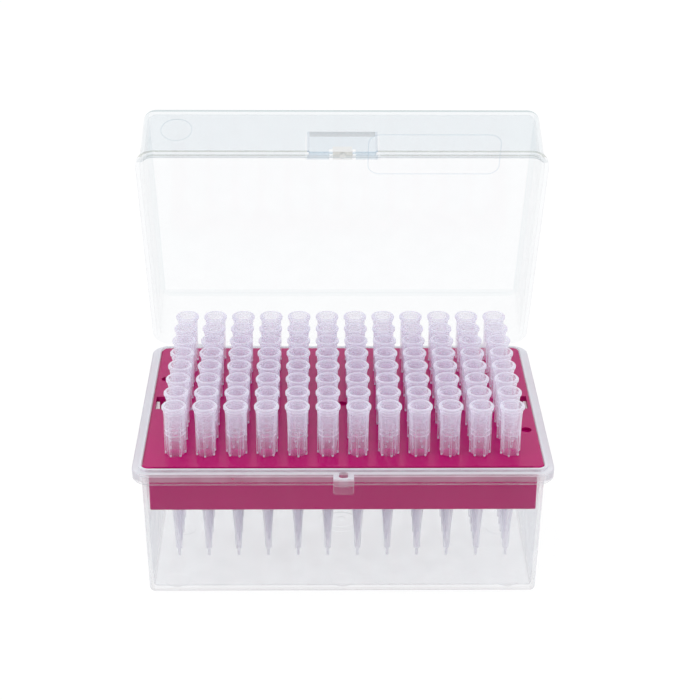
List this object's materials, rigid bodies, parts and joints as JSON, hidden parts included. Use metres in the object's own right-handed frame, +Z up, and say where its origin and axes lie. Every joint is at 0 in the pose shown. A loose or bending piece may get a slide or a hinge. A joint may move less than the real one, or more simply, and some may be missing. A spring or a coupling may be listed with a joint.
{
  "type": "pipette tip box",
  "caption": "Hinged translucent box with a coloured rack that holds a full grid of ribbed clear pipette tips, its lid held open.",
  "frame": {"origin": "centre of the box's underside", "axes": "+Z up, +X along the box's long side, -Y towards the latch and +Y towards the hinges"},
  "size_m": [0.1246, 0.1124, 0.1289],
  "materials": {
    "box": "translucent polypropylene, satin",
    "lid": "translucent polypropylene, satin",
    "rack": "opaque magenta polypropylene, satin",
    "tips": "clear polypropylene, glossy"
  },
  "bodies": {
    "box": {"base": "box", "rack": "rack", "tips_column_01": "tips", "tips_column_02": "tips", "tips_column_03": "tips", "tips_column_04": "tips", "tips_column_05": "tips", "tips_column_06": "tips", "tips_column_07": "tips", "tips_column_08": "tips", "tips_column_09": "tips", "tips_column_10": "tips", "tips_column_11": "tips", "tips_column_12": "tips"},
    "lid": {"lid": "lid"}
  },
  "joints": [
    {"name": "lid_hinge", "type": "hinge", "parent": "box", "child": "lid", "pos_m": [0, 0.04445, 0.0396], "axis": [-1, 0, 0], "range_deg": [-65.4, 44]}
  ]
}
